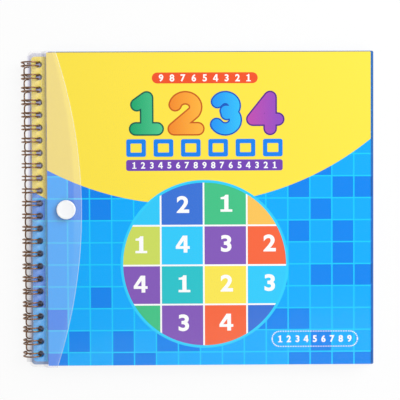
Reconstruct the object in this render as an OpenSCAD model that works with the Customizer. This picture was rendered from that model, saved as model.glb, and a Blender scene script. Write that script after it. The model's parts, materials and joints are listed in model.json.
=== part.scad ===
// Wire-bound sudoku book: a snap-flap film pocket with a booklet in front, three board leaves that
// carry number tiles, and a stiff back cover, all turning on one twin-loop wire binding.
// The book lies on its back cover: +Z is the front, +Y the head of the book, +X its fore edge.
// The origin is under the middle of the whole book, on the surface that it lies on.

/* [Pocket] */
// Height of the film pocket along the spine
pocket_h = 211.5; // [195:0.5:240]
// Width of the pocket from its bound edge to its fore edge
pocket_w = 230.1; // [210:0.5:260]
// Thickness of the pocket and flap film
film_t = 0.3; // [0.2:0.05:0.4]
// Radius of the corners at the bound edge
film_corner_r = 2.5; // [2:0.1:5]
// Distance from the film's bound edge to the middle of its holes
film_margin = 6.9; // [5:0.1:8]
// Width of the welded seam round three sides of the pocket
seam_w = 0.25; // [0.2:0.05:1]
// Room between the booklet and the walls of the pocket
pocket_slack = 0.2; // [0.1:0.05:0.5]

/* [Flap] */
// Level run of film past the holes before it rises
flap_land = 0.3; // [0.2:0.05:1]
// Width of the strip that rises over the edge of the booklet
riser_run = 2.8; // [1.6:0.1:4]
// Depth of the flap at its middle
flap_mid_w = 23.5; // [20:0.1:40]
// Depth of the flap at its head and tail
flap_end_w = 6.6; // [3:0.1:12]
// Distance from the crease to the middle of the snap
snap_in = 13; // [9:0.05:14]

/* [Snap] */
// Diameter of the snap's outer cap
cap_d = 12.8; // [10:0.1:15]
// Height of the snap's outer cap
cap_t = 1; // [0.7:0.05:1.6]
// Diameter of the dish in the cap
dish_d = 9.6; // [6:0.1:9.6]
// Depth of the dish in the cap
dish_depth = 0.15; // [0.05:0.05:0.3]
// Diameter of the cap's post, which the socket is pressed on
post_d = 4.4; // [3.8:0.1:5]
// Outer diameter of the socket
socket_d = 9; // [8:0.1:10]
// Height of the socket
socket_t = 0.85; // [0.7:0.05:1.5]
// Diameter of the stud's head
stud_d = 4; // [3.4:0.1:4.2]
// Height of the stud's head above its base
stud_h = 0.6; // [0.4:0.05:0.65]
// Diameter of the stud's base and of the rivet head behind the film
stud_base_d = 8.4; // [7:0.1:10]
// Thickness of the stud's base and of the rivet head
stud_base_t = 0.4; // [0.3:0.05:0.6]
// Diameter of the rivet's shank
rivet_d = 2; // [1.5:0.1:2.4]

/* [Booklet] */
// Radius of the booklet's corners at the fore edge
booklet_corner_r = 0.6; // [0.4:0.1:4]
// Thickness of the booklet's cover paper
cover_t = 0.2; // [0.15:0.01:0.3]
// Thickness of an inner sheet of the booklet
sheet_t = 0.1; // [0.08:0.01:0.15]
// Folded sheets inside the cover
sheet_count = 3; // [2:1:5]
// Wire diameter of a staple
staple_d = 0.4; // [0.3:0.05:0.5]
// Length of a staple's crown
staple_w = 12; // [8:0.5:16]
// Distance between the middles of the two staples
staple_pitch = 104; // [60:1:140]

/* [Board leaves] */
// How far the board leaves stop short of the pocket at head and tail
leaf_step = 3.25; // [1:0.05:6]
// How far the board leaves stop short of the pocket at the fore edge
leaf_inset = 1; // [0.5:0.1:3]
// Distance from a leaf's bound edge to the middle of its holes
leaf_margin = 5.2; // [5:0.1:6.5]
// Thickness of the printed face card and of the back card
card_t = 0.3; // [0.2:0.05:0.5]
// Thickness of the steel sheet that holds the tiles
steel_t = 0.2; // [0.15:0.05:0.4]
// Border of card round the steel sheet
steel_border = 2; // [1:0.1:5]
// Radius of the leaves' fore edge corners
leaf_corner_r = 3; // [1.5:0.1:6]
// Side of the square that the tiles fill
grid_w = 180; // [150:1:190]
// Gap between neighbouring tiles
tile_gap = 1.2; // [0.6:0.1:2]
// Thickness of a magnetic tile
tile_t = 0.8; // [0.6:0.05:1.2]
// Corner radius of a tile
tile_corner_r = 1.5; // [0.5:0.1:3]
// Gap between one leaf and the next when the book is shut
leaf_gap = 0.15; // [0.1:0.05:0.4]

/* [Back cover] */
// Thickness of the back cover board
back_t = 2; // [1.6:0.1:3]
// How far the back cover reaches past the pocket at the fore edge
back_overhang = 2.3; // [0.5:0.1:4]
// How far the back cover reaches past the pocket at head and tail
back_square = 0.6; // [0:0.1:3]
// Radius of the back cover's corners
back_corner_r = 1.2; // [0.5:0.1:8]
// Thickness of the punched liner sheet glued to the board
liner_t = 0.3; // [0.2:0.05:0.5]
// Border of board left round the liner
liner_border = 1; // [0.5:0.1:4]

/* [Wire binding] */
// Distance from one loop to the next
loop_pitch = 8.467; // [8:0.001:12.7]
// Diameter of the wire
wire_d = 1; // [0.8:0.05:1.2]
// Distance between the two legs of a loop
leg_pitch = 2.4; // [2:0.1:2.5]
// Diameter of the punched holes
hole_d = 4.5; // [4:0.1:5]
// Bend radius of the runs that join one loop to the next
run_bend_r = 1.8; // [1.2:0.1:2.4]
// How far the loops stand above the closed snap
loop_rise = 0.07; // [0:0.01:1]

/* [Hidden] */
$fn = 48;
// Facets of the flap's arch, a short piece of a wide circle
arch_facets = 720;
// Overrun of every cut
over = 0.5;
// Play between round fits of the snap and rivet
snap_play = 0.1;
// Play of the socket round the stud, which it leaves on an arc
socket_play = 0.3;
// Play between the booklet's nested sheets, and in its middle
sheet_gap = 0.02;
fold_gap = 0.06;
// Edge break of the snap's mouldings
snap_edge = 0.25;
// Room between the rising strip and the flap at the crease
crease_gap = 0.1;
// How deep a staple's legs reach past the innermost fold
staple_reach = 0.3;
// Where the loops part at the runs and end at the tips, as angles round the binding
run_angle = 212;
tip_angle = -112;
// Places on the ring are kept to a thousandth of a millimetre
steps_per_mm = 1000;
// Loss of diameter where the wire is bent sharply, and how far those bends root in the legs
bend_thinning = 0.02;
bend_root = 0.2;
bend_wire_d = wire_d - bend_thinning;

// Boards from the back of the book to the front: cells a side, and rows and columns of a box
board_cells = [9, 6, 4];
box_rows = [3, 2, 2];
box_cols = [3, 3, 2];
tile_colours = ["#3a78d9", "#44c58c", "#fbcd66", "#d6e37a", "#3ccfff",
                "#8d68bf", "#f76f44", "#31c8d0", "#fbec74"];

// Levels of the stack, from the surface up
leaf_t = 2 * card_t + steel_t;
function leaf_z(i) = back_t + liner_t + leaf_gap + i * (leaf_t + tile_t + leaf_gap);
pocket_z = leaf_z(len(board_cells));
margin_z = pocket_z + film_t;
fold_depth = cover_t + sheet_count * (sheet_t + sheet_gap);
booklet_t = 2 * fold_depth + fold_gap;
front_z = margin_z + booklet_t + stud_base_t + snap_play;
stud_z = front_z + film_t;
socket_z = stud_z + stud_base_t + snap_play;
flap_z = socket_z + socket_t;
cap_z = flap_z + film_t;
crease_z = flap_z + film_t / 2;

// The binding's ring, whose axis is x = 0 here
coil_d = cap_z + cap_t + loop_rise;
coil_z = coil_d / 2;
ring_r = (coil_d - wire_d) / 2;
function to_step(v) = round(steps_per_mm * v) / steps_per_mm;
function bind_x(z) = to_step(sqrt(ring_r * ring_r - (z - coil_z) * (z - coil_z)));

// Places across the book
liner_hole_x = bind_x(back_t + liner_t / 2);
function leaf_hole_x(i) = bind_x(leaf_z(i) + leaf_t / 2);
film_hole_x = bind_x(margin_z);
film_x0 = film_hole_x - film_margin;
film_x1 = film_x0 + pocket_w;
riser_x = film_hole_x + hole_d / 2 + flap_land;
crease_x = riser_x + riser_run;
snap_x = crease_x + snap_in;
booklet_x = crease_x + pocket_slack;
booklet_x1 = film_x1 - seam_w - film_t - pocket_slack;
booklet_h = pocket_h - 2 * (seam_w + film_t + pocket_slack);
fore_corner_r = booklet_corner_r + pocket_slack + film_t + seam_w;
leaf_x1 = film_x1 - leaf_inset;
leaf_h = pocket_h - 2 * leaf_step;
grid_x = (crease_x + leaf_x1) / 2;
back_x1 = film_x1 + back_overhang;
back_h = pocket_h + 2 * back_square;
book_mid_x = (back_x1 - coil_d / 2) / 2;

// The loops along the spine
loop_count = floor(leaf_h / loop_pitch);
function loop_y(k) = (k - (loop_count - 1) / 2) * loop_pitch;
run_w = loop_pitch - leg_pitch;

// Sudoku number of the tile in row r and column c, a full and valid filling of the board
function tile_number(i, r, c) =
    (box_cols[i] * (r % box_rows[i]) + floor(r / box_rows[i]) + c) % board_cells[i] + 1;

// Names of the boards and their parts
function board_name(i) = str(board_cells[i], "x", board_cells[i]);
function card_node(i, side) = str("board_", board_name(i), "_", side);
function tiles_node(i, n) = str("tiles_", board_name(i), "_number_", n);
boards = [0:len(board_cells) - 1];

// Least gap of the wire to itself, between a loop's tip and the runs beside it, measured on points
function ring_point(a) = ring_r * [cos(a), sin(a), 0];
function along(a) = [-sin(a), cos(a), 0];
function tip_point(s) = ring_point(tip_angle) - leg_pitch / 2 * sin(s) * along(tip_angle)
    + [0, 0, leg_pitch / 2 * cos(s)];
function run_point(s) = ring_point(run_angle) + run_bend_r * sin(s) * along(run_angle)
    + [0, 0, leg_pitch / 2 + run_bend_r * (1 - cos(s))];
echo(least_wire_gap = min([for (s = [0:5:180]) for (q = [0:5:90])
    norm(tip_point(s) - run_point(q))]) - wire_d);

// Flat outline from x0 to x1, h high, with its corners rounded by r0 at x0 and r1 at x1
module outline(x0, x1, h, r0, r1) {
    translate([x0 + r0, -h / 2]) square([x1 - r1 - x0 - r0, h]);
    if (r0 > 0) round_end(x0, x0 + r0, h, r0);
    if (r1 > 0) round_end(x1 - r1, x1 - r1, h, r1);
}

// One rounded end of an outline: a strip from x, and its two corner circles at mid_x
module round_end(x, mid_x, h, r) {
    translate([x, r - h / 2]) square([r, h - 2 * r]);
    for (s = [-1, 1]) translate([mid_x, s * (h / 2 - r)]) circle(r);
}

// A flat sheet of thickness t on level z, with the row of binding holes at hole_x
module punched_sheet(x0, x1, h, r0, r1, z, t, hole_x) {
    translate([0, 0, z]) linear_extrude(t) difference() {
        outline(x0, x1, h, r0, r1);
        for (k = [0:loop_count - 1]) translate([hole_x, loop_y(k)]) circle(d = hole_d);
    }
}

// Moves the book from the binding's axis to the origin under its middle
module placed() {
    translate([-book_mid_x, 0, 0]) children();
}

// A bend of wire d thick, of radius r through angle a, from +X towards +Y in its own plane
module wire_bend(r, a, d) {
    rotate_extrude(angle = a) translate([r, 0]) circle(d = d);
}

// Turns what lies in XY so that it leaves the ring at angle a, apex along or against it
module on_ring(a, turn) {
    translate(ring_point(a)) rotate([0, 0, a + turn]) rotate([0, 90, 0]) children();
}

// The two ends of a hairpin or run, w apart, which reach a little way into the legs
module wire_roots(w) {
    for (s = [-1, 1]) translate([s * w / 2, 0, 0]) rotate([90, 0, 0])
        cylinder(d = bend_wire_d, h = bend_root);
}

// One loop: two legs round the ring, joined by a hairpin at the tip
module wire_loop() {
    for (s = [-1, 1]) translate([0, 0, s * leg_pitch / 2]) rotate([0, 0, tip_angle])
        wire_bend(ring_r, run_angle - tip_angle, wire_d);
    on_ring(tip_angle, 180) {
        wire_bend(leg_pitch / 2, 180, bend_wire_d);
        wire_roots(leg_pitch);
    }
}

// The run from one loop to the next: two bends with a straight between them
module wire_run() on_ring(run_angle, 0) {
    for (s = [-1, 1]) translate([s * (run_w / 2 - run_bend_r), 0, 0]) rotate([0, 0, 45 - s * 45])
        wire_bend(run_bend_r, 90, bend_wire_d);
    translate([run_bend_r - run_w / 2, run_bend_r, 0]) rotate([0, 90, 0])
        cylinder(d = bend_wire_d, h = run_w - 2 * run_bend_r);
    wire_roots(run_w);
}

// The whole binding: loops threaded through every sheet, closed under the spine
module wire_binding() color("#8a6a4f") placed() translate([0, 0, coil_z]) rotate([90, 0, 0]) {
    for (k = [0:loop_count - 1]) translate([0, 0, loop_y(k)]) wire_loop();
    for (k = [0:loop_count - 2]) translate([0, 0, loop_y(k) + loop_pitch / 2]) wire_run();
}

// The stiff back cover that the book lies on
module back_board() color("#2f7fd6") placed() linear_extrude(back_t)
    outline(crease_x, back_x1, back_h, back_corner_r, back_corner_r);

// The punched liner that hangs the back cover on the binding
module back_liner() color("#4d9be6") placed()
    punched_sheet(liner_hole_x - leaf_margin, back_x1 - liner_border, back_h - 2 * liner_border,
        film_corner_r, back_corner_r, back_t, liner_t, liner_hole_x);

// A card of board i on level z, full width and punched
module board_card(i, z) placed()
    punched_sheet(leaf_hole_x(i) - leaf_margin, leaf_x1, leaf_h, film_corner_r, leaf_corner_r,
        z, card_t, leaf_hole_x(i));

module board_back_card(i) color("#d7ecfb") board_card(i, leaf_z(i));

module board_face_card(i) color("#ffe54b") board_card(i, leaf_z(i) + card_t + steel_t);

// The steel sheet between the cards, which the magnetic tiles hold to
module board_steel(i) color("#b9bcc0") placed() translate([0, 0, leaf_z(i) + card_t])
    linear_extrude(steel_t)
        outline(crease_x, leaf_x1 - steel_border, leaf_h - 2 * steel_border, 0, leaf_corner_r);

// All tiles of board i that carry number n
module board_tiles(i, n) color(tile_colours[n - 1]) placed() {
    pitch = grid_w / board_cells[i];
    side = pitch - tile_gap;
    for (r = [0:board_cells[i] - 1]) for (c = [0:board_cells[i] - 1])
        if (tile_number(i, r, c) == n)
            translate([grid_x + pitch * (c - (board_cells[i] - 1) / 2),
                pitch * ((board_cells[i] - 1) / 2 - r), leaf_z(i) + leaf_t])
                linear_extrude(tile_t) outline(-side / 2, side / 2, side, tile_corner_r, tile_corner_r);
}

// The pocket's back film, punched along the spine
module pocket_back_film() color("#e9eef2", 0.5) placed()
    punched_sheet(film_x0, film_x1, pocket_h, film_corner_r, fore_corner_r,
        pocket_z, film_t, film_hole_x);

// The outline of the pocket's front, set in from the film's edge, and run on past the mouth
module pocket_outline(inset, run_on) {
    outline(crease_x + pocket_slack - run_on, film_x1 - inset, pocket_h - 2 * inset,
        0, fore_corner_r - inset);
}

// The pocket's front film: a shallow tray welded on three sides and open towards the spine
module pocket_front_film() color("#e9eef2", 0.5) placed() {
    wall_in = seam_w + film_t;
    translate([0, 0, margin_z]) linear_extrude(film_t) difference() {
        pocket_outline(0, 0);
        pocket_outline(wall_in, over);
    }
    translate([0, 0, margin_z]) linear_extrude(stud_z - margin_z) difference() {
        pocket_outline(seam_w, 0);
        pocket_outline(wall_in, over);
    }
    translate([0, 0, front_z]) linear_extrude(film_t) difference() {
        pocket_outline(seam_w, 0);
        translate([snap_x, 0]) circle(d = rivet_d + snap_play);
    }
}

// The profile of the rising strip: a film with round bends, from the margin up to the crease
module riser_profile() {
    start = [riser_x, margin_z + film_t / 2];
    rise = [crease_x, crease_z] - start;
    unit = rise / norm(rise);
    side = [-unit[1], unit[0]] * film_t / 2;
    end = [crease_x, crease_z] - unit * (film_t + crease_gap);
    polygon([start - side, end - side, end + side, start + side]);
    for (p = [start, end]) translate(p) circle(d = film_t);
}

// The flap's bound strip: punched with the pocket, then rising to the crease
module flap_hinge_strip() color("#e9eef2", 0.5) placed() {
    punched_sheet(film_x0, riser_x, pocket_h, film_corner_r, 0, margin_z, film_t, film_hole_x);
    translate([0, pocket_h / 2, 0]) rotate([90, 0, 0]) linear_extrude(pocket_h) riser_profile();
}

// The flap: a film with an arched free edge and a round nose at the crease
module flap_film() color("#e9eef2", 0.5) placed() difference() {
    sag = flap_mid_w - flap_end_w;
    arch_r = (pocket_h * pocket_h / 4 + sag * sag) / (2 * sag);
    intersection() {
        translate([crease_x, pocket_h / 2, crease_z]) rotate([90, 0, 0]) linear_extrude(pocket_h) {
            circle(d = film_t);
            translate([0, -film_t / 2]) square([flap_mid_w + over, film_t]);
        }
        translate([crease_x + flap_mid_w - arch_r, 0, flap_z - over])
            cylinder(r = arch_r, h = film_t + 2 * over, $fn = arch_facets);
    }
    translate([snap_x, 0, flap_z - over]) cylinder(d = post_d + snap_play, h = film_t + 2 * over);
}

// A round of the snap on level z, turned from its half profile
module snap_round(z) placed() translate([snap_x, 0, z]) rotate_extrude() children();

// The snap's outer cap: a dished head and the post that goes through the flap
module snap_cap() color("white") {
    snap_round(cap_z) polygon([[0, 0], [cap_d / 2 - snap_edge, 0], [cap_d / 2, snap_edge],
        [cap_d / 2, cap_t / 2], [cap_d / 2 - cap_t / 2, cap_t], [dish_d / 2 + dish_depth, cap_t],
        [dish_d / 2, cap_t - dish_depth], [0, cap_t - dish_depth]]);
    snap_round(cap_z - film_t - snap_play) square([post_d / 2, film_t + snap_play + snap_edge]);
}

// The socket under the flap, pressed on the post and sprung over the stud
module snap_socket() color("white") snap_round(socket_z) {
    bore_r = max(stud_d / 2 + socket_play, post_d / 2);
    polygon([[bore_r + snap_edge, 0], [socket_d / 2 - snap_edge, 0], [socket_d / 2, snap_edge],
        [socket_d / 2, socket_t], [bore_r, socket_t], [bore_r, snap_edge]]);
}

// The stud on the pocket's front film
module snap_stud() color("white") snap_round(stud_z) {
    bore_r = (rivet_d + snap_play) / 2;
    top = stud_base_t + stud_h;
    polygon([[bore_r, 0], [stud_base_d / 2, 0], [stud_base_d / 2, stud_base_t],
        [stud_d / 2, stud_base_t], [stud_d / 2, top - snap_edge], [stud_d / 2 - snap_edge, top],
        [bore_r, top]]);
}

// The rivet inside the pocket, whose shank holds the stud
module snap_rivet() color("white") snap_round(front_z - stud_base_t) {
    shank = stud_base_t + film_t + stud_base_t + stud_h;
    polygon([[0, 0], [stud_base_d / 2 - snap_edge, 0], [stud_base_d / 2, snap_edge],
        [stud_base_d / 2, stud_base_t], [rivet_d / 2, stud_base_t], [rivet_d / 2, shank], [0, shank]]);
}

// A folded sheet of the booklet: in is how far it lies inside the cover, t its thickness
module folded_sheet(in, t) {
    fold_x = booklet_x + in;
    h = booklet_t - 2 * in;
    translate([0, 0, margin_z + in]) difference() {
        linear_extrude(h) outline(fold_x, booklet_x1 - in, booklet_h - 2 * in, 0, booklet_corner_r);
        translate([fold_x + t, -pocket_h / 2, t]) cube([pocket_w, pocket_h, h - 2 * t]);
    }
}

// Both staples' middles along the spine, at the height of the booklet's fold
module at_staples() {
    for (s = [-1, 1]) translate([booklet_x, s * staple_pitch / 2, margin_z + booklet_t / 2]) children();
}

// The holes that the staples make through every fold
module staple_holes() at_staples() for (s = [-1, 1])
    translate([-over, s * (staple_w - staple_d) / 2, 0]) rotate([0, 90, 0])
        cylinder(d = staple_d + sheet_gap, h = fold_depth + 2 * over);

// The booklet's printed cover
module booklet_cover() color("#ffe54b") placed() difference() {
    folded_sheet(0, cover_t);
    staple_holes();
}

// The booklet's inner sheets, nested in the cover
module booklet_sheets() color("#fbfbf6") placed() difference() {
    for (k = [0:sheet_count - 1])
        folded_sheet(cover_t + sheet_gap + k * (sheet_t + sheet_gap), sheet_t);
    staple_holes();
}

// The two staples through the fold: a crown outside and two straight legs
module booklet_staples() color("#c2c5c9") placed() at_staples() {
    translate([-staple_d / 2, 0, 0]) rotate([90, 0, 0])
        cylinder(d = staple_d, h = staple_w - staple_d, center = true);
    for (s = [-1, 1]) translate([-staple_d / 2, s * (staple_w - staple_d) / 2, 0]) {
        sphere(d = staple_d);
        rotate([0, 90, 0]) cylinder(d = staple_d, h = staple_d / 2 + fold_depth + staple_reach);
    }
}

back_board();
back_liner();
wire_binding();
for (i = boards) {
    board_back_card(i);
    board_steel(i);
    board_face_card(i);
    for (n = [1:board_cells[i]])
        board_tiles(i, n);
}
pocket_back_film();
pocket_front_film();
flap_hinge_strip();
snap_stud();
snap_rivet();
booklet_cover();
booklet_sheets();
booklet_staples();
flap_film();
snap_cap();
snap_socket();
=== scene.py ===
import json
import math

import bmesh
import bpy
from mathutils import Matrix, Vector


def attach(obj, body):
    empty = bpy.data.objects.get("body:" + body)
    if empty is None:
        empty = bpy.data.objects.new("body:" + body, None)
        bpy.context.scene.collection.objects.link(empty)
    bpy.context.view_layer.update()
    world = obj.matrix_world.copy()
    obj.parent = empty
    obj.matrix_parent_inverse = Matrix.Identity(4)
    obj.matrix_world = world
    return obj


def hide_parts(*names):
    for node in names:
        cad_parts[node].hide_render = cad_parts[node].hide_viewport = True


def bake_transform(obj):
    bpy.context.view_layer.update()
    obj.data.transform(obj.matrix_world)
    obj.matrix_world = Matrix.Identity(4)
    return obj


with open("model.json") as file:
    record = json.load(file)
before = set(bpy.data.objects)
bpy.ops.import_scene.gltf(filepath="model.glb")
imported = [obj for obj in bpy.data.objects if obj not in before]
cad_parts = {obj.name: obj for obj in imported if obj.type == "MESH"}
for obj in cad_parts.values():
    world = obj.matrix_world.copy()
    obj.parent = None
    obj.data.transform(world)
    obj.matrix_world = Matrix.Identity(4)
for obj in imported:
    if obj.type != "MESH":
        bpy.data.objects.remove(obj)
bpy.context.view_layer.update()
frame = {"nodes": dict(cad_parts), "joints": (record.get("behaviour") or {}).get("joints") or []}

mm = 0.001
mergeReach = 1e-7
nodes = frame["nodes"]

# kinds of node that the trees use most
mathKind = "ShaderNodeMath"
vectorKind = "ShaderNodeVectorMath"
splitKind = "ShaderNodeSeparateXYZ"
rangeKind = "ShaderNodeMapRange"
mixKind = "ShaderNodeMix"
noiseKind = "ShaderNodeTexNoise"
bumpKind = "ShaderNodeBump"


def linear(hexColour):
    # sRGB hex to linear RGBA
    parts = [int(hexColour[i:i + 2], 16) / 255 for i in (1, 3, 5)]
    return [c / 12.92 if c <= 0.04045 else ((c + 0.055) / 1.055) ** 2.4 for c in parts] + [1]


def feed(tree, node, feeds):
    # links a socket or a node's first output, or sets a plain value, by socket name or number
    for socket, value in feeds.items():
        if isinstance(value, bpy.types.Node):
            value = value.outputs[0]
        if isinstance(value, bpy.types.NodeSocket):
            tree.links.new(value, node.inputs[socket])
        else:
            node.inputs[socket].default_value = value


def addNode(tree, kind, feeds=None, **settings):
    node = tree.nodes.new(kind)
    for name, value in settings.items():
        setattr(node, name, value)
    feed(tree, node, feeds or {})
    return node


def newMaterial(name, values):
    material = bpy.data.materials.new(name)
    material.use_nodes = True
    shader = material.node_tree.nodes["Principled BSDF"]
    feed(material.node_tree, shader, values)
    return material, material.node_tree, shader


def inMillimetres(tree):
    place = addNode(tree, "ShaderNodeTexCoord").outputs["Object"]
    return addNode(tree, vectorKind, {0: place, "Scale": 1 / mm}, operation="SCALE")


def newObject(name, mesh, *materials):
    piece = bpy.data.objects.new(name, mesh)
    bpy.context.scene.collection.objects.link(piece)
    for material in materials:
        mesh.materials.append(material)
    return piece


def meshFrom(name, form):
    mesh = bpy.data.meshes.new(name)
    form.to_mesh(mesh)
    form.free()
    return mesh


def makePlain(piece):
    # the evaluated mesh takes the place of the modifiers, and of a curve
    bpy.context.view_layer.update()
    seen = piece.evaluated_get(bpy.context.evaluated_depsgraph_get())
    mesh = bpy.data.meshes.new_from_object(seen)
    piece.modifiers.clear()
    if piece.type == "MESH":
        old, piece.data = piece.data, mesh
        bpy.data.meshes.remove(old)
        return piece
    name = piece.name
    bpy.data.objects.remove(piece)
    return newObject(name, mesh)


def faceUp(face):
    face.normal_update()
    if face.normal.z < 0:
        face.normal_flip()


def nodeBox(name):
    # lowest and highest corner of a CAD node in mm
    box = nodes[name].bound_box
    return Vector(box[0]) / mm, Vector(box[6]) / mm


hinges = {joint["name"]: Vector(joint["pos_m"]) / mm for joint in frame["joints"]}
spine, crease = hinges["turn_9x9"], hinges["open_flap"]
stripLow, stripHigh = nodeBox("flap_hinge_strip")
flapLow, flapHigh = nodeBox("flap_film")
tilesLow, tilesHigh = nodeBox("tiles_9x9_number_1")
# sizes of the book in mm, across it from the binding's axis and up from the table
book = {"midX": -spine.x, "pocketHeight": stripHigh.y - stripLow.y, "filmLeft": stripLow.x - spine.x,
        "filmThick": flapHigh.z - flapLow.z, "holeX": 5.612, "holeWidth": 4.5, "riserX": 8.162,
        "marginZ": stripLow.z + (flapHigh.z - flapLow.z) / 2, "creaseX": crease.x - spine.x,
        "coverZ": nodeBox("booklet_cover")[1].z, "loops": 24, "pitch": 8.467, "tileGap": 1.2,
        "gridX": (tilesLow.x + tilesHigh.x) / 2 - spine.x}
book["gridWidth"] = tilesHigh.x - tilesLow.x + book["tileGap"]


def across(x):
    return (x - book["midX"]) * mm


print("camera and light")
camera = {"place": (-4.7, 23.1, 700), "turn": (-1.412, -0.483, -0.2535), "lens": 92.74, "sensor": 36,
          "near": 10}
lamps = {
    "key": {"place": (700, 560, 800), "size": 1000, "power": 13.4, "colour": "#ffffff"},
    "low": {"place": (60, -520, 1000), "size": 620, "power": 2.2, "colour": "#ffffff"},
}
worldLight = {"colour": "#ffffff", "strength": 0.36}

eye = bpy.data.objects.new("camera", bpy.data.cameras.new("camera"))
eye.location = Vector(camera["place"]) * mm
eye.rotation_euler = [math.radians(a) for a in camera["turn"]]
eye.data.lens = camera["lens"]
eye.data.sensor_width = camera["sensor"]
eye.data.clip_start = camera["near"] * mm
bpy.context.scene.collection.objects.link(eye)
bpy.context.scene.camera = eye
bpy.context.scene.view_settings.view_transform = "Standard"

for name, lamp in lamps.items():
    light = bpy.data.lights.new(name, "AREA")
    light.energy = lamp["power"]
    light.size = lamp["size"] * mm
    light.color = linear(lamp["colour"])[:3]
    holder = bpy.data.objects.new(name, light)
    holder.location = Vector(lamp["place"]) * mm
    holder.rotation_euler = holder.location.to_track_quat("Z", "Y").to_euler()
    bpy.context.scene.collection.objects.link(holder)

world = bpy.data.worlds.new("studio")
bpy.context.scene.world = world
world.use_nodes = True
feed(world.node_tree, world.node_tree.nodes["Background"],
     {"Color": linear(worldLight["colour"]), "Strength": worldLight["strength"]})

floorSpec = {"size": 4000, "drop": 0.05, "colour": "#f4f4f4", "roughness": 0.9, "shine": 0.87,
             "shade": (117.3, 104), "shadeGlow": {"upper": 0.5, "lower": 0.08, "from": 25, "to": -15},
             "coilFrom": 112.5, "coilGlow": 0.37, "paintedShadeTint": "#c6c5ea", "paintedShadeSpan": (115.8, 113.3)}
floorForm = bmesh.new()
bmesh.ops.create_grid(floorForm, x_segments=1, y_segments=1, size=floorSpec["size"] * mm)
bmesh.ops.translate(floorForm, vec=(0, 0, -floorSpec["drop"] * mm), verts=floorForm.verts)
# matt white paper, lifted to a plain white background for the eye and for reflections
sweepPaper, tree, shader = newMaterial("white_paper_sweep", {
    "Base Color": linear(floorSpec["colour"]), "Roughness": floorSpec["roughness"]})
path = addNode(tree, "ShaderNodeLightPath").outputs
seenWhite = addNode(tree, mathKind, {0: path["Is Camera Ray"], 1: path["Is Glossy Ray"]},
                    operation="MAXIMUM")
seenWhite = addNode(tree, mathKind, {0: seenWhite, 1: path["Is Transmission Ray"]}, operation="MAXIMUM")
# painted shadow: under the book the floor's glow is turned down, more in the lower half, so that the punched
# holes look dark, and less so beside the coil
floorPlace = inMillimetres(tree)
shadeGlow = floorSpec["shadeGlow"]
along = addNode(tree, splitKind, {0: floorPlace}).outputs["Y"]
dim = addNode(tree, rangeKind, {0: along, 1: shadeGlow["from"], 2: shadeGlow["to"],
                                3: shadeGlow["upper"], 4: shadeGlow["lower"]})
spot = addNode(tree, vectorKind, {0: floorPlace}, operation="ABSOLUTE")
spot = addNode(tree, splitKind, {0: spot}).outputs
byCoil = addNode(tree, mathKind, {0: spot["X"], 1: floorSpec["coilFrom"]}, operation="GREATER_THAN")
dim = addNode(tree, mathKind, {0: byCoil, 1: floorSpec["coilGlow"], 2: dim}, operation="MULTIPLY_ADD")
outside = addNode(tree, mathKind, {0: spot["X"], 1: floorSpec["shade"][0]}, operation="GREATER_THAN")
beyond = addNode(tree, mathKind, {0: spot["Y"], 1: floorSpec["shade"][1]}, operation="GREATER_THAN")
lit = addNode(tree, mathKind, {0: outside, 1: beyond}, operation="MAXIMUM")
# and it takes a painted lilac shade beside the coil, in place of the shadow and tint of the leaves above it
paintedShadeTint = addNode(tree, rangeKind, {0: spot["X"], 1: floorSpec["paintedShadeSpan"][0], 2: floorSpec["paintedShadeSpan"][1]})
paintedShadeTint = addNode(tree, mathKind, {0: paintedShadeTint, 1: lit}, operation="SUBTRACT", use_clamp=True)
tone = addNode(tree, mixKind, {"Factor": paintedShadeTint, 6: (1, 1, 1, 1), 7: linear(floorSpec["paintedShadeTint"])},
               data_type="RGBA").outputs[2]
lit = addNode(tree, rangeKind, {0: lit, 3: dim, 4: floorSpec["shine"]})
share = addNode(tree, mathKind, {0: seenWhite, 1: lit}, operation="MULTIPLY")
glow = addNode(tree, "ShaderNodeEmission", {"Color": tone, "Strength": 1})
sweepMix = addNode(tree, "ShaderNodeMixShader", {0: share, 1: shader, 2: glow})
feed(tree, tree.nodes["Material Output"], {"Surface": sweepMix})
floor = newObject("floor", meshFrom("floor", floorForm), sweepPaper)


print("materials")
coverArt = {"yellow": "#ffe649", "paper": "#f6f6f2", "sunCentre": (-8.2, 200.8), "boardSun": (-8.2, 181.0),
            "sunRadius": 197.65, "tilePitch": 14.78, "tileCorner": (-87.8, 7.2), "tileLineWidth": 0.9,
            "darkShare": 0.42, "panelRim": 1.5, "rule": 0.5, "roughness": 0.32, "specular": 0.12,
            "blues": {"light": "#00adff", "dark": "#0086f0", "line": "#14ceff"},
            "linerBlues": {"light": "#216cbc", "dark": "#195ba6", "line": "#2f7ecc"},
            "pales": {"light": "#d7ecfb", "dark": "#c6e3fa", "line": "#eaf6fe"},
            "outer": {"back": 8.1, "front": 9.17, "fold": 11.3},
            "linerMargin": {"limit": book["creaseX"], "upper": "#d9d9e8", "lower": "#8fb0dc", "from": 25,
                            "to": -15},
            "boardMargin": {"limit": 0.75, "upper": "#d9d9e8", "lower": "#9db4da", "from": 25, "to": -15}}
paperSkin = {"patch": 40.0, "spread": 0.05, "tooth": 0.6, "toothHeight": 0.002, "toothStrength": 0.4,
             "wave": 55.0, "waveHeight": 0.35, "coat": 0.22, "coatRoughness": 0.1}
paintSkin = {"cloud": 12, "grainStrength": 0.4}
filmSkin = {"ior": 1.49, "wave": 45.0}


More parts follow.
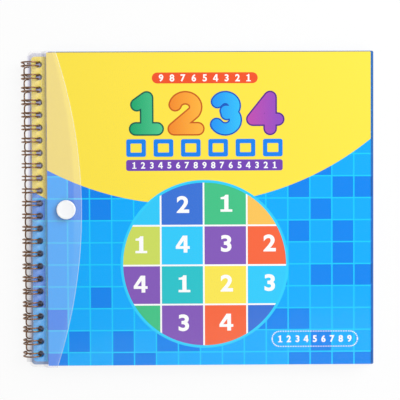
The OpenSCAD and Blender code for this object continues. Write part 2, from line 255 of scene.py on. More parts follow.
def pressPaper(tree, shader, roughness, laminated=False):
    # pressed paper: a fine tooth, drawn coarser than real to show, and patches of other gloss
    place = inMillimetres(tree)
    patch = addNode(tree, noiseKind, {"Vector": place, "Scale": 1 / paperSkin["patch"], "Detail": 2})
    gloss = addNode(tree, rangeKind, {0: patch, 3: roughness - paperSkin["spread"],
                                      4: roughness + paperSkin["spread"]})
    tooth = addNode(tree, noiseKind, {"Vector": place, "Scale": 1 / paperSkin["tooth"], "Detail": 2})
    bump = addNode(tree, bumpKind, {"Height": tooth, "Strength": paperSkin["toothStrength"],
                                    "Distance": paperSkin["toothHeight"] * mm})
    feed(tree, shader, {"Roughness": gloss, "Normal": bump})
    if laminated:
        # a clear skin whose slow waves bend the highlights
        wave = addNode(tree, noiseKind, {"Vector": place, "Scale": 1 / paperSkin["wave"], "Detail": 1.5})
        ripple = addNode(tree, bumpKind, {"Height": wave, "Strength": 1,
                                          "Distance": paperSkin["waveHeight"] * mm})
        feed(tree, shader, {"Coat Normal": ripple, "Coat Weight": paperSkin["coat"],
                            "Coat Roughness": paperSkin["coatRoughness"]})


def fieldPrint(name, roughness, inks, sunCentre=None, cells=0, outer=None, margin=None):
    # coated paper or card, offset printed: a mosaic, mostly with a yellow sun field, flat inks, smooth gloss
    material, tree, shader = newMaterial(name, {"Specular IOR Level": coverArt["specular"]})
    pressPaper(tree, shader, roughness, bool(outer))
    place = inMillimetres(tree)
    spot = addNode(tree, splitKind, {0: place}).outputs
    flat = addNode(tree, vectorKind, {0: place, 1: (1, 1, 0)}, operation="MULTIPLY")
    shifted = addNode(tree, vectorKind, {0: flat, 1: (*coverArt["tileCorner"], 0)}, operation="SUBTRACT")
    pitch = coverArt["tilePitch"]
    tiles = addNode(tree, "ShaderNodeTexBrick", {
        "Vector": shifted, "Color1": (0, 0, 0, 1), "Color2": (1, 1, 1, 1), "Mortar": (0, 0, 0, 1),
        "Scale": 1, "Mortar Size": coverArt["tileLineWidth"] / 2, "Mortar Smooth": 0, "Bias": 0,
        "Brick Width": pitch, "Row Height": pitch}, offset=0, squash=1)
    tones = addNode(tree, "ShaderNodeValToRGB", {0: tiles})
    tones.color_ramp.interpolation = "CONSTANT"
    tones.color_ramp.elements[0].color = linear(inks["dark"])
    tones.color_ramp.elements[1].color = linear(inks["light"])
    tones.color_ramp.elements[1].position = coverArt["darkShare"]
    mosaic = addNode(tree, mixKind, {"Factor": tiles.outputs["Fac"], 6: tones, 7: linear(inks["line"])},
                     data_type="RGBA").outputs[2]
    layers = []  # masks and inks, printed one over the other
    if sunCentre:
        reach = addNode(tree, vectorKind, {0: flat, 1: (*sunCentre, 0)}, operation="DISTANCE").outputs
        isSun = addNode(tree, mathKind, {0: reach["Value"], 1: coverArt["sunRadius"]}, operation="LESS_THAN")
        layers.append((isSun, linear(coverArt["yellow"])))
    if cells:
        # a white panel under the tiles, ruled between them
        half = book["gridWidth"] / 2
        middle = book["gridX"] - book["midX"]
        inPanel = addNode(tree, vectorKind, {0: flat, 1: (middle, 0, 0)}, operation="SUBTRACT")
        sizes = addNode(tree, vectorKind, {0: inPanel}, operation="ABSOLUTE")
        sizes = addNode(tree, splitKind, {0: sizes}).outputs
        far = addNode(tree, mathKind, {0: sizes["X"], 1: sizes["Y"]}, operation="MAXIMUM")
        isPanel = addNode(tree, mathKind, {0: far, 1: half + coverArt["panelRim"]}, operation="LESS_THAN")
        fromCorner = addNode(tree, vectorKind, {0: inPanel, 1: (half, half, 0)}, operation="ADD")
        ruled = addNode(tree, "ShaderNodeTexBrick", {
            "Vector": fromCorner, "Color1": linear(coverArt["paper"]), "Color2": linear(coverArt["paper"]),
            "Mortar": linear(inks["dark"]), "Scale": 1, "Mortar Size": coverArt["rule"] / 2,
            "Mortar Smooth": 0, "Brick Width": 2 * half / cells, "Row Height": 2 * half / cells},
            offset=0, squash=1)
        layers.append((isPanel, ruled))
    if outer:
        # the front and the fold carry the sun, the back the mosaic alone, the inside stays paper white
        belowFront = addNode(tree, mathKind, {0: spot["Z"], 1: outer["front"]}, operation="LESS_THAN")
        pastFold = addNode(tree, mathKind, {0: spot["X"], 1: outer["fold"] - book["midX"]},
                           operation="GREATER_THAN")
        isInside = addNode(tree, mathKind, {0: belowFront, 1: pastFold}, operation="MULTIPLY")
        isBack = addNode(tree, mathKind, {0: spot["Z"], 1: outer["back"]}, operation="LESS_THAN")
        layers += [(isInside, linear(coverArt["paper"])), (isBack, mosaic)]
    if margin:
        # the punched edge is left pale above, and greyer below as a painted shade
        isMargin = addNode(tree, mathKind, {0: spot["X"], 1: margin["limit"] - book["midX"]},
                           operation="LESS_THAN")
        fade = addNode(tree, rangeKind, {0: spot["Y"], 1: margin["from"], 2: margin["to"]})
        pale = addNode(tree, mixKind, {"Factor": fade, 6: linear(margin["upper"]),
                                       7: linear(margin["lower"])}, data_type="RGBA").outputs[2]
        layers.append((isMargin, pale))
    art = mosaic
    for mask, ink in layers:
        art = addNode(tree, mixKind, {"Factor": mask, 6: art, 7: ink}, data_type="RGBA").outputs[2]
    feed(tree, shader, {"Base Color": art})
    return material


def plainPaint(name, colour, roughness, grit, bumpHeight, toneShift, metallic=0.0):
    # a moulded or coated surface: faint change of tone and a grain of that grit in mm, coarse enough to show
    material, tree, shader = newMaterial(name, {"Roughness": roughness, "Metallic": metallic})
    place = inMillimetres(tree)
    cloudSize = grit * paintSkin["cloud"]
    cloud = addNode(tree, noiseKind, {"Vector": place, "Scale": 1 / cloudSize, "Detail": 3})
    shift = addNode(tree, rangeKind, {0: cloud, 3: 1 - toneShift, 4: 1 + toneShift})
    tone = addNode(tree, "ShaderNodeHueSaturation", {"Color": linear(colour), "Value": shift})
    grain = addNode(tree, noiseKind, {"Vector": place, "Scale": 1 / grit, "Detail": 2})
    bump = addNode(tree, bumpKind, {"Height": grain, "Strength": paintSkin["grainStrength"],
                                    "Distance": bumpHeight * mm})
    feed(tree, shader, {"Base Color": tone, "Normal": bump})
    return material


def film(name, colour, alpha, roughness, waveHeight, sheen=None):
    # polypropylene sheet: pale, a little milky, with slow waves that bend its gloss
    material, tree, shader = newMaterial(name, {"Base Color": linear(colour), "Alpha": alpha,
                                                "Roughness": roughness, "IOR": filmSkin["ior"]})
    wave = addNode(tree, noiseKind, {"Vector": inMillimetres(tree), "Scale": 1 / filmSkin["wave"],
                                     "Detail": 1.5})
    bump = addNode(tree, bumpKind, {"Height": wave, "Strength": 1, "Distance": waveHeight * mm})
    feed(tree, shader, {"Normal": bump})
    if sheen:
        # painted sheen: lighter along the arch and on the bound strip, by the sheet's own attribute
        band = addNode(tree, "ShaderNodeAttribute", attribute_name="sheen").outputs["Fac"]
        tone = addNode(tree, mixKind, {"Factor": band, 6: linear(colour), 7: linear(sheen)},
                       data_type="RGBA").outputs[2]
        feed(tree, shader, {"Base Color": tone})
    return material


# laminated cover paper: bright flat inks under a clear gloss
coverPaper = fieldPrint("coated_cover_paper", coverArt["roughness"], coverArt["blues"],
                        coverArt["sunCentre"], outer=coverArt["outer"])
# extruded film, thin and glassy: only a breath of haze over the print
pocketFilm = film("clear_polypropylene", "#eef3fb", alpha=0.003, roughness=0.16, waveHeight=0.25)
# the flap's thicker look: a milky lilac haze on its face, with a painted lighter sheen from its attribute
flapFilm = film("milky_polypropylene", "#cec5fd", alpha=0.2, roughness=0.2, waveHeight=0.2,
                sheen="#fff8ff")
# pressed creases scatter more light, and the milkier film there is also a painted shade band where the sheet
# rises
flapBendShade = film("bent_polypropylene", "#cfcbe8", alpha=0.3, roughness=0.25, waveHeight=0.1)
# the underside adds almost nothing, so that the haze counts once
flapUnder = film("polypropylene_underside", "#efeeff", alpha=0.01, roughness=0.2, waveHeight=0.2)
# die-cut edge: whitened, and a painted highlight as a fine bright line
flapEdgeHighlight = film("cut_polypropylene_edge", "#f4fbff", alpha=0.4, roughness=0.3, waveHeight=0.1)
# steel wire with a drawn bronze coat: brown with long soft highlights
wirePaint = plainPaint("bronze_coated_wire", "#946e52", roughness=0.27, grit=0.6, bumpHeight=0.01,
                       toneShift=0.06, metallic=0.8)
# moulded acetal: dense cool white, satin
snapPlastic = plainPaint("white_acetal", "#fcfdff", roughness=0.3, grit=0.5, bumpHeight=0.004,
                         toneShift=0.01)
# grey board under a blue laminate: even, slightly grainy blue
backPaint = plainPaint("blue_laminated_board", "#2268b4", roughness=0.35, grit=0.8, bumpHeight=0.006,
                       toneShift=0.03)
# printed papers and cards inside: the same mosaic, duller
linerPaint = fieldPrint("printed_liner", roughness=0.45, inks=coverArt["linerBlues"],
                        margin=coverArt["linerMargin"])
cardPaint = fieldPrint("printed_back_card", roughness=0.5, inks=coverArt["pales"])
boardPaints = {n: fieldPrint(f"printed_board_{n}", roughness=0.4, inks=coverArt["blues"],
                             sunCentre=coverArt["boardSun"], cells=n, margin=coverArt["boardMargin"])
               for n in (9, 6, 4)}
# rolled tinplate: bright grey, faintly grained
tinPaint = plainPaint("tinplate", "#c4c8cc", roughness=0.3, grit=0.4, bumpHeight=0.004, toneShift=0.03,
                      metallic=1.0)
# uncoated book paper: warm matt white
paperPaint = plainPaint("uncoated_paper", "#f7f7f1", roughness=0.8, grit=0.3, bumpHeight=0.01,
                        toneShift=0.02)
# galvanised staples: cool grey metal
staplePaint = plainPaint("galvanised_wire", "#b9bdc2", roughness=0.3, grit=0.3, bumpHeight=0.004,
                         toneShift=0.04, metallic=1.0)
# magnetic rubber with a printed skin: satin, one colour for each number
tileColours = ["#3a78d9", "#44c58c", "#fbcd66", "#d6e37a", "#3ccfff", "#8d68bf", "#f76f44", "#31c8d0",
               "#fbec74"]
tilePaints = [plainPaint(f"magnet_rubber_{number}", colour, roughness=0.4, grit=0.4, bumpHeight=0.01,
                         toneShift=0.02) for number, colour in enumerate(tileColours, 1)]

finish = {"back_board": backPaint, "back_liner": linerPaint, "wire_binding": wirePaint,
          "pocket_back_film": pocketFilm, "pocket_front_film": pocketFilm,
          "flap_hinge_strip": flapFilm, "flap_film": flapFilm,
          "snap_stud": snapPlastic, "snap_rivet": snapPlastic, "snap_cap": snapPlastic,
          "snap_socket": snapPlastic, "booklet_cover": coverPaper, "booklet_sheets": paperPaint,
          "booklet_staples": staplePaint}
for n, boardPaint in boardPaints.items():
    finish[f"board_{n}x{n}_back_card"] = cardPaint
    finish[f"board_{n}x{n}_steel"] = tinPaint
    finish[f"board_{n}x{n}_face_card"] = boardPaint
    for number in range(n):
        finish[f"tiles_{n}x{n}_number_{number + 1}"] = tilePaints[number]
for name, node in nodes.items():
    node.data.materials.clear()
    node.data.materials.append(finish[name])


def newTree(name, inputs, output):
    # an empty Geometry Nodes tree with named inputs
    tree = bpy.data.node_groups.new(name, "GeometryNodeTree")
    for title, kind in inputs.items():
        tree.interface.new_socket(title, in_out="INPUT", socket_type="NodeSocket" + kind)
    tree.interface.new_socket(output, in_out="OUTPUT", socket_type="NodeSocketGeometry")
    return tree, addNode(tree, "NodeGroupInput").outputs


def runTree(piece, tree, values):
    # sets the tree's inputs by identifier, runs it and keeps the plain mesh
    modifier = piece.modifiers.new(tree.name, "NODES")
    modifier.node_group = tree
    for item in tree.interface.items_tree:
        if item.in_out == "INPUT" and item.name in values:
            modifier[item.identifier] = values[item.name]
    return makePlain(piece)


def polyCurve(name, points, closed=False):
    curve = bpy.data.curves.new(name, "CURVE")
    curve.dimensions = "3D"
    spline = curve.splines.new("POLY")
    spline.points.add(len(points) - 1)
    spline.use_cyclic_u = closed
    for spot, place in zip(spline.points, points):
        spot.co = (*place, 1)
    return newObject(name, curve)


print("wire binding")
wireSpec = {"ringRadius": 5.85, "thick": 1.0, "legPitch": 2.4, "runAngle": -120, "tipAngle": 210,
            "runBend": 1.8, "bow": 0.3, "legSteps": 40, "bendSteps": 8, "runSteps": 4, "sides": 14}


def onRing(angle, out=0.0):
    # a point of the ring at that angle, pushed out mm along the ring's tangent
    a = math.radians(angle)
    r = wireSpec["ringRadius"]
    return Vector((r * math.cos(a) - out * math.sin(a), r * math.sin(a) + out * math.cos(a)))


def halfRun():
    # from a leg's end to the middle of the bowed run beside it, as places on the ring and along the spine
    half, bend, steps = wireSpec["legPitch"] / 2, wireSpec["runBend"], wireSpec["runSteps"]
    reach = book["pitch"] / 2 - half
    quarter = [math.pi / 2 * k / wireSpec["bendSteps"] for k in range(wireSpec["bendSteps"] + 1)]
    run = [(bend * math.sin(q), bend * (1 - math.cos(q))) for q in quarter]
    run += [(bend, bend + (reach - bend) * (k + 1) / steps) for k in range(steps)]
    places = []
    for out, d in run:
        bow = wireSpec["bow"] * math.sin(d / reach * math.pi / 2)
        places.append((onRing(wireSpec["runAngle"], -out) - Vector((bow, 0)), half + d))
    return places


def loopPath(middle):
    # run end, under and over along one leg, hairpin, back along the other leg, out to the next run
    half, steps = wireSpec["legPitch"] / 2, wireSpec["legSteps"]
    run, tip = wireSpec["runAngle"], wireSpec["tipAngle"]
    legAngles = [run + (tip - run) * k / steps for k in range(steps + 1)]
    halfTurn = [math.pi * k / wireSpec["bendSteps"] for k in range(1, wireSpec["bendSteps"] + 1)]
    bow = halfRun()
    points = bow[:0:-1] + [(onRing(a), half) for a in legAngles]
    points += [(onRing(tip, half * math.sin(q)), half * math.cos(q)) for q in halfTurn]
    points += [(onRing(a), -half) for a in legAngles[-2::-1]]
    points += [(spot, -y) for spot, y in bow[1:-1]]
    return [(across(p.x), (middle + y) * mm, (spine.z + p.y) * mm) for p, y in points]


def wireTree():
    # sweeps a round wire along the path
    tree, given = newTree("wire_sweep", {"Path": "Geometry", "Radius": "Float", "Sides": "Int",
                                         "Finish": "Material"}, "Wire")
    ring = addNode(tree, "GeometryNodeCurvePrimitiveCircle", {"Resolution": given["Sides"],
                                                              "Radius": given["Radius"]})
    tube = addNode(tree, "GeometryNodeCurveToMesh", {"Curve": given["Path"], "Profile Curve": ring,
                                                     "Fill Caps": True})
    smooth = addNode(tree, "GeometryNodeSetShadeSmooth", {"Geometry": tube})
    real = addNode(tree, "GeometryNodeRealizeInstances", {0: smooth})
    done = addNode(tree, "GeometryNodeSetMaterial", {"Geometry": real, "Material": given["Finish"]})
    addNode(tree, "NodeGroupOutput", {0: done})
    return tree


wirePoints = []
for k in range(book["loops"]):
    wirePoints += loopPath(((book["loops"] - 1) / 2 - k) * book["pitch"])
# the wire starts and stops at a leg
ending = len(halfRun()) - 1
wirePoints = wirePoints[ending:1 - ending]
wire = runTree(polyCurve("wire_loops", wirePoints), wireTree(), {
    "Radius": wireSpec["thick"] / 2 * mm, "Sides": wireSpec["sides"], "Finish": wirePaint})
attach(wire, "base")
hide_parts("wire_binding")


print("flap sheet")
flapSpec = {"midDepth": 23.5, "endDepth": 6.6, "riserBend": 0.9, "creaseBend": 0.7, "edgeBand": 0.45,
            "cornerRadius": 2.5, "cornerSteps": 8, "holeSides": 24, "bendCuts": 10, "archPoints": 97,
            "creaseCuts": (1.0, 1.4, 2.0, 3.0), "spare": 1.0, "bendPast": 0.2,
            "blendFrom": -0.5, "blendTo": 0.6, "sheenWidth": {"end": 2.7, "middle": 6.0},
            "sheenSoft": 1.0, "sheenFade": (25, -30), "sheenLow": 0.25, "stripSheen": 1.0,
            "near": 1e-3, "cutReach": 1e-6}


def rounded(before, corner, after, radius, steps):
    # arc that rounds a corner of a path
    a, b = (before - corner).normalized(), (after - corner).normalized()
    turn = a.angle(b)
    reach = radius / math.tan(turn / 2)
    centre = corner + (a + b).normalized() * radius / math.sin(turn / 2)
    first, last = corner + a * reach - centre, corner + b * reach - centre
    sweep = first.angle_signed(last)
    return [centre + Matrix.Rotation(-sweep * k / steps, 2) @ first for k in range(steps + 1)]


flapLine = [Vector((book["filmLeft"], book["marginZ"])), Vector((book["riserX"], book["marginZ"])),
            Vector((book["creaseX"], crease.z)),
            Vector((book["creaseX"] + flapSpec["midDepth"] + flapSpec["spare"], crease.z))]
flapPath = [flapLine[0], *rounded(*flapLine[:3], flapSpec["riserBend"], flapSpec["bendCuts"]),
            *rounded(*flapLine[1:], flapSpec["creaseBend"], flapSpec["bendCuts"]), flapLine[3]]
flapRun = [0.0]
for before, after in zip(flapPath, flapPath[1:]):
    flapRun.append(flapRun[-1] + (after - before).length)


def onFlap(run):
    # place of the sheet's middle, run mm along it from the bound edge
    for k in range(len(flapPath) - 1):
        if run <= flapRun[k + 1] or k == len(flapPath) - 2:
            share = (run - flapRun[k]) / (flapRun[k + 1] - flapRun[k])
            return flapPath[k].lerp(flapPath[k + 1], share)


riserRun = flapRun[1]
creaseRun = flapRun[len(flapPath) - 2 - flapSpec["bendCuts"] // 2]
halfHeight = book["pocketHeight"] / 2
archSag = flapSpec["midDepth"] - flapSpec["endDepth"]
archRadius = (halfHeight ** 2 + archSag ** 2) / (2 * archSag)


def archRun(y, inset=0.0):
    r = archRadius - inset
    return creaseRun + flapSpec["midDepth"] - archRadius + math.sqrt(max(r * r - y * y, 0))


def sheenInset(y):
    # width of the painted sheen band inside the arch
    wide = flapSpec["sheenWidth"]
    return wide["middle"] + (wide["end"] - wide["middle"]) * abs(y) / halfHeight


def sheenAt(y):
    # the painted sheen shows most in the upper half
    top, bottom = flapSpec["sheenFade"]
    share = min(max((y - bottom) / (top - bottom), 0), 1)
    return flapSpec["sheenLow"] + (1 - flapSpec["sheenLow"]) * share


def punchedTree():
    # fills an outline with a row of round holes left open along one edge
    tree, given = newTree("punched_sheet", {
        "Outline": "Geometry", "Holes": "Int", "Pitch": "Float", "Hole Radius": "Float", "Hole Sides": "Int",
        "Margin": "Float", "Finish": "Material"}, "Sheet")
    gaps = addNode(tree, mathKind, {0: given["Holes"], 1: 1.0}, operation="SUBTRACT")
    start = addNode(tree, mathKind, {0: gaps, 1: given["Pitch"]}, operation="MULTIPLY")
    start = addNode(tree, mathKind, {0: start, 1: -0.5}, operation="MULTIPLY")
    first = addNode(tree, "ShaderNodeCombineXYZ", {"X": given["Margin"], "Y": start})
    step = addNode(tree, "ShaderNodeCombineXYZ", {"Y": given["Pitch"]})
    row = addNode(tree, "GeometryNodeMeshLine", {"Count": given["Holes"], "Start Location": first,
                                                 "Offset": step})
    hole = addNode(tree, "GeometryNodeCurvePrimitiveCircle", {"Resolution": given["Hole Sides"],
                                                              "Radius": given["Hole Radius"]})
    punched = addNode(tree, "GeometryNodeInstanceOnPoints", {"Points": row, "Instance": hole})
    real = addNode(tree, "GeometryNodeRealizeInstances", {0: punched})
    both = addNode(tree, "GeometryNodeJoinGeometry")
    feed(tree, both, {0: real})
    feed(tree, both, {0: given["Outline"]})
    sheet = addNode(tree, "GeometryNodeFillCurve", {"Curve": both}, mode="TRIANGLES")
    whole = addNode(tree, "GeometryNodeRealizeInstances", {0: sheet})
    done = addNode(tree, "GeometryNodeSetMaterial", {"Geometry": whole, "Material": given["Finish"]})
    addNode(tree, "NodeGroupOutput", {0: done})
    return tree


outlinePoints = []
for k in range(flapSpec["archPoints"]):
    y = -halfHeight + 2 * halfHeight * k / (flapSpec["archPoints"] - 1)
    outlinePoints.append((archRun(y, sheenInset(y)), y, 0))
corner = flapSpec["cornerRadius"]
turns = [math.radians(90 * k / flapSpec["cornerSteps"]) for k in range(flapSpec["cornerSteps"] + 1)]
for way in (1, -1):
    for a in turns[::way]:
        y = way * (halfHeight - corner + corner * math.cos(a))
        outlinePoints.append((corner * (1 - math.sin(a)), y, 0))
flat = runTree(polyCurve("flap_outline", outlinePoints, True), punchedTree(), {
    "Holes": book["loops"], "Pitch": book["pitch"], "Hole Radius": book["holeWidth"] / 2,
    "Hole Sides": flapSpec["holeSides"], "Margin": book["holeX"] - book["filmLeft"], "Finish": flapFilm})
flapForm = bmesh.new()
flapForm.from_mesh(flat.data)
bpy.data.objects.remove(flat)
for face in flapForm.faces:
    faceUp(face)
sheenLayer = flapForm.verts.layers.float.new("sheen")
rim = [v for v in flapForm.verts if abs(v.co.x - archRun(v.co.y, sheenInset(v.co.y))) < flapSpec["near"]]
rim.sort(key=lambda v: v.co.y)
# the band of painted sheen, then the whitened cut edge with its painted highlight along the arch
for band in ("soft", "full", "edge"):
    outer = []
    for vert in rim:
        y = vert.co.y
        insets = {"soft": sheenInset(y) - flapSpec["sheenSoft"], "full": flapSpec["edgeBand"], "edge": 0}
        outer.append(flapForm.verts.new((archRun(y, insets[band]), y, 0)))
        outer[-1][sheenLayer] = sheenAt(y)
    for k in range(len(rim) - 1):
        face = flapForm.faces.new((rim[k], outer[k], outer[k + 1], rim[k + 1]))
        face.material_index = 1 if band == "edge" else 0
    rim = outer
for cut in flapRun[1:-1] + [creaseRun + d for d in flapSpec["creaseCuts"]]:
    bmesh.ops.bisect_plane(flapForm, geom=flapForm.verts[:] + flapForm.edges[:] + flapForm.faces[:],
                           plane_co=(cut, 0, 0), plane_no=(1, 0, 0), dist=flapSpec["cutReach"])
for face in flapForm.faces:
    face.smooth = True
    # the rising bend takes the milkier film, partly a painted shade band
    if riserRun < face.calc_center_median().x < creaseRun + flapSpec["bendPast"]:
        face.material_index = 2
for vert in flapForm.verts:
    # the bound strip gets the painted sheen all over, and the flat sheet is laid along its bends
    if vert.co.x < riserRun + flapSpec["near"]:
        vert[sheenLayer] = flapSpec["stripSheen"]
    spot = onFlap(vert.co.x)
    vert.co = (across(spot.x), vert.co.y * mm, spot.y * mm)
upper = (flapFilm, flapEdgeHighlight, flapBendShade)
flap = newObject("flap_sheet", meshFrom("flap_sheet", flapForm), *upper, *[flapUnder for _ in upper])
thick = flap.modifiers.new("thickness", "SOLIDIFY")
thick.thickness = book["filmThick"] * mm
thick.offset = 0
thick.material_offset = len(upper)
thick.material_offset_rim = 1
flap = makePlain(flap)
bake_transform(flap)
# so thin a haze doesn't darken the print under it
flap.visible_shadow = False
flap.visible_diffuse = False
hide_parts("flap_hinge_strip", "flap_film")


print("snap")
capLow, capHigh = nodeBox("snap_cap")
snapSpec = {"x": (capLow.x + capHigh.x) / 2 - spine.x, "bottom": flapHigh.z,
            "width": capHigh.x - capLow.x, "height": capHigh.z - flapHigh.z, "foot": 0.15, "rim": 0.5,
            "dishWidth": 9.4, "dishDepth": 0.07, "lip": 0.3, "lipIn": 0.1, "steps": 72, "footSteps": 4}


def turned(name, profile, spec, *materials):
    # a round moulding from its half profile, out and up in mm
    form = bmesh.new()
    axis = across(spec["x"])
    line = [form.verts.new((axis + r * mm, 0, (spec["bottom"] + h) * mm)) for r, h in profile]
    edges = [form.edges.new(pair) for pair in zip(line, line[1:])]
    bmesh.ops.spin(form, geom=line + edges, cent=(axis, 0, 0), axis=(0, 0, 1), angle=2 * math.pi,
                   steps=spec["steps"], use_merge=True)
    bmesh.ops.remove_doubles(form, verts=form.verts, dist=mergeReach)
    bmesh.ops.recalc_face_normals(form, faces=form.faces)
    for face in form.faces:
        face.smooth = True
    return newObject(name, meshFrom(name, form), *materials)


def arc(cx, cy, radius, fromAngle, toAngle, steps=8):
    turns = [math.radians(fromAngle + (toAngle - fromAngle) * k / steps) for k in range(steps + 1)]
    return [(cx + radius * math.cos(t), cy + radius * math.sin(t)) for t in turns]


capR, dishR = snapSpec["width"] / 2, snapSpec["dishWidth"] / 2
foot, rim, lip = snapSpec["foot"], snapSpec["rim"], snapSpec["lip"]
capTop, dishZ = snapSpec["height"], snapSpec["height"] - snapSpec["dishDepth"]
capProfile = [(0, 0), *arc(capR - foot, foot, foot, -90, 0, snapSpec["footSteps"]),
              *arc(capR - rim, capTop - rim, rim, 0, 90),
              *arc(dishR + lip, capTop - lip, lip, 90, 120, snapSpec["footSteps"]),
              (dishR - snapSpec["lipIn"], dishZ), (0, dishZ)]
cap = turned("snap_cap_moulding", capProfile, snapSpec, snapPlastic)
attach(cap, "flap")
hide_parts("snap_cap")


print("booklet cover")
coverSpec = {"clear": 0.03}
coverForm = bmesh.new()
coverForm.from_mesh(nodes["booklet_cover"].data)
bmesh.ops.remove_doubles(coverForm, verts=coverForm.verts, dist=mergeReach)
for vert in coverForm.verts:
    # lifts the back off the film it rests on, so that the two faces don't share a plane
    if vert.co.z < coverArt["outer"]["back"] * mm:
        vert.co.z += coverSpec["clear"] * mm
cover = newObject("booklet_cover_look", meshFrom("booklet_cover_look", coverForm), coverPaper)
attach(cover, "pocket")
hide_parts("booklet_cover")


print("cover print")
artSpec = {"rise": 0.8, "lift": 0.02, "layer": 0.012, "hair": 0.0008, "white": "#ffffff", "weight": 0.03,
           "fontSteps": 8, "widen": 1.12}
discSpec = {"centre": (4.0, -37.8), "ringRadius": 56.5, "radius": 54.7, "steps": 128, "ring": "#2fd2ff",
            "columns": (-25.4, 3.4, 32.4), "rows": (-11.9, -38.6, -65.0), "line": 1.15, "digitHeight": 11.4,
            "inks": {"sky": "#30ccfc", "blue": "#3a74d8", "green": "#44c488", "orange": "#fbc65a",
                     "lime": "#cede60", "purple": "#855aba", "red": "#f8683e", "teal": "#28c4cc",
                     "yellow": "#fbe854"},
            "cells": ("sky blue green orange", "lime sky purple red", "purple teal yellow sky",
                      "green purple red blue"),
            "digits": ((2, -10.4, 2.3), (1, 18.6, 3.0),
                       (1, -38.6, -24.6), (4, -10.6, -24.3), (3, 18.5, -24.0), (2, 47.7, -23.8),
                       (4, -39.0, -51.1), (1, -9.8, -51.0), (2, 18.8, -50.7), (3, 47.7, -50.5),
                       (3, -10.2, -77.3), (4, 18.5, -77.0))}
titleSpec = {"box": (-48.7, 58.4, 48.4, 78.3), "stroke": 7.2, "line": 1.0, "capSteps": 20, "fade": 11.0,
             "digits": ((1, "#0fa56b", "#4fc98f", "#0d5f50"), (2, "#f58a2a", "#ffb63f", "#c9601c"),
                        (3, "#1f8ff5", "#35c4fb", "#1458c0"), (4, "#c04fb0", "#8f4fc4", "#57298c"))}
blankSpec = {"box": (-48.2, 56.6, 34.3, 46.1), "count": 6, "colour": "#1283f0", "width": 13.2, "rule": 2.9,
             "corners": (1.4, 0.5)}
barSpec = {"inset": 2.5, "dotPitch": 1.7, "dotWidth": 0.8, "dotCorner": 0.3, "dotSteps": 2, "borderSteps": 6,
           "bars": ({"box": (-48.3, 56.6, 24.9, 32.3), "colour": "#7446b4", "corner": 1.6, "tall": 4.4,
                     "digits": "12345678987654321"},
                    {"box": (-30.8, 40.0, 83.3, 90.6), "colour": "#f2552a", "corner": 3.6, "tall": 4.8,
                     "digits": "987654321"},
                    {"box": (49.2, 106.7, -93.6, -83.4), "colour": None, "corner": 5.0, "tall": 4.6,
                     "digits": "123456789"})}
# digits that the font draws badly at this weight, one unit high: a footed one, a four around its open middle
digitShapes = {1: [[(-0.3, -0.5), (0.32, -0.5), (0.32, -0.36), (0.12, -0.36), (0.12, 0.5), (-0.05, 0.5),
                    (-0.09, 0.42), (-0.17, 0.375), (-0.29, 0.36), (-0.29, 0.24), (-0.1, 0.24), (-0.1, -0.36),
                    (-0.3, -0.36)]],
               4: [[(0.04, -0.5), (0.24, -0.5), (0.24, 0.5), (0.04, 0.5)],
                   [(-0.37, -0.28), (0.04, -0.28), (0.04, -0.12), (-0.37, -0.12)],
                   [(0.24, -0.28), (0.36, -0.28), (0.36, -0.12), (0.24, -0.12)],
                   [(-0.37, -0.12), (-0.17, -0.12), (0.04, 0.2), (0.04, 0.5), (0.0, 0.5)]]}
# the title's digits as strokes, one unit high
titleLines = {1: [[(-0.24, 0.28), (0.04, 0.5), (0.04, -0.5)], [(-0.28, -0.5), (0.34, -0.5)]],
              2: [arc(0, 0.2, 0.3, 165, -35, 16) + [(-0.32, -0.5), (0.36, -0.5)]],
              3: [arc(0, 0.24, 0.26, 150, -80, 14), arc(0, -0.22, 0.29, 85, -150, 16)],
              4: [[(0.14, -0.5), (0.14, 0.5), (-0.36, -0.2), (0.36, -0.2)]]}


def digitShape(number):
    # polygons of a heavy digit, one unit high about its middle
    if number not in digitShapes:
        text = bpy.data.curves.new("digit", "FONT")
        text.body = str(number)
        text.offset = artSpec["weight"]
        text.resolution_u = artSpec["fontSteps"]
        mesh = makePlain(newObject("digit", text)).data
        xs, ys = zip(*[vert.co.xy for vert in mesh.vertices])
        middle, low, tall = (min(xs) + max(xs)) / 2, min(ys), max(ys) - min(ys)
        spots = [((x - middle) / tall, (y - low) / tall - 0.5) for x, y in zip(xs, ys)]
        digitShapes[number] = [[spots[i] for i in face.vertices] for face in mesh.polygons]
        bpy.data.meshes.remove(mesh)
    return digitShapes[number]


def placed(polygons, x, y, height, widen=1.0):
    return [[(x + a * height * widen, y + b * height) for a, b in shape] for shape in polygons]


def roundBox(left, right, low, high, radius, steps=8):
    points = []
    for cx, cy, start in ((right - radius, high - radius, 0), (left + radius, high - radius, 90),
                          (left + radius, low + radius, 180), (right - radius, low + radius, 270)):
        points += arc(cx, cy, radius, start, start + 90, steps)
    return points


def clipped(points, axis, limit, side):
    # the part of an outline past the limit, side 1 above it and -1 below it
    kept = []
    for before, after in zip(points[-1:] + points[:-1], points):
        a, b = (before[axis] - limit) * side, (after[axis] - limit) * side
        if a * b < 0:
            share = a / (a - b)
            kept.append(tuple(before[k] + (after[k] - before[k]) * share for k in (0, 1)))
        if b >= 0:
            kept.append(after)
    return kept


def strokeShapes(lines, width):
    # round-ended strokes along lines, as one box for each leg and one disc for each turn
    shapes = []
    for line in lines:
        for a, b in zip(line, line[1:]):
            side = Vector((a[1] - b[1], b[0] - a[0])).normalized() * width / 2
            shapes.append([(a[0] + side.x, a[1] + side.y), (a[0] - side.x, a[1] - side.y),
                           (b[0] - side.x, b[1] - side.y), (b[0] + side.x, b[1] + side.y)])
        for x, y in line:
            shapes.append(arc(x, y, width / 2, 0, 360, titleSpec["capSteps"])[:-1])
    return shapes


inkForm = bmesh.new()
inkLayer = inkForm.loops.layers.float_color.new("ink")


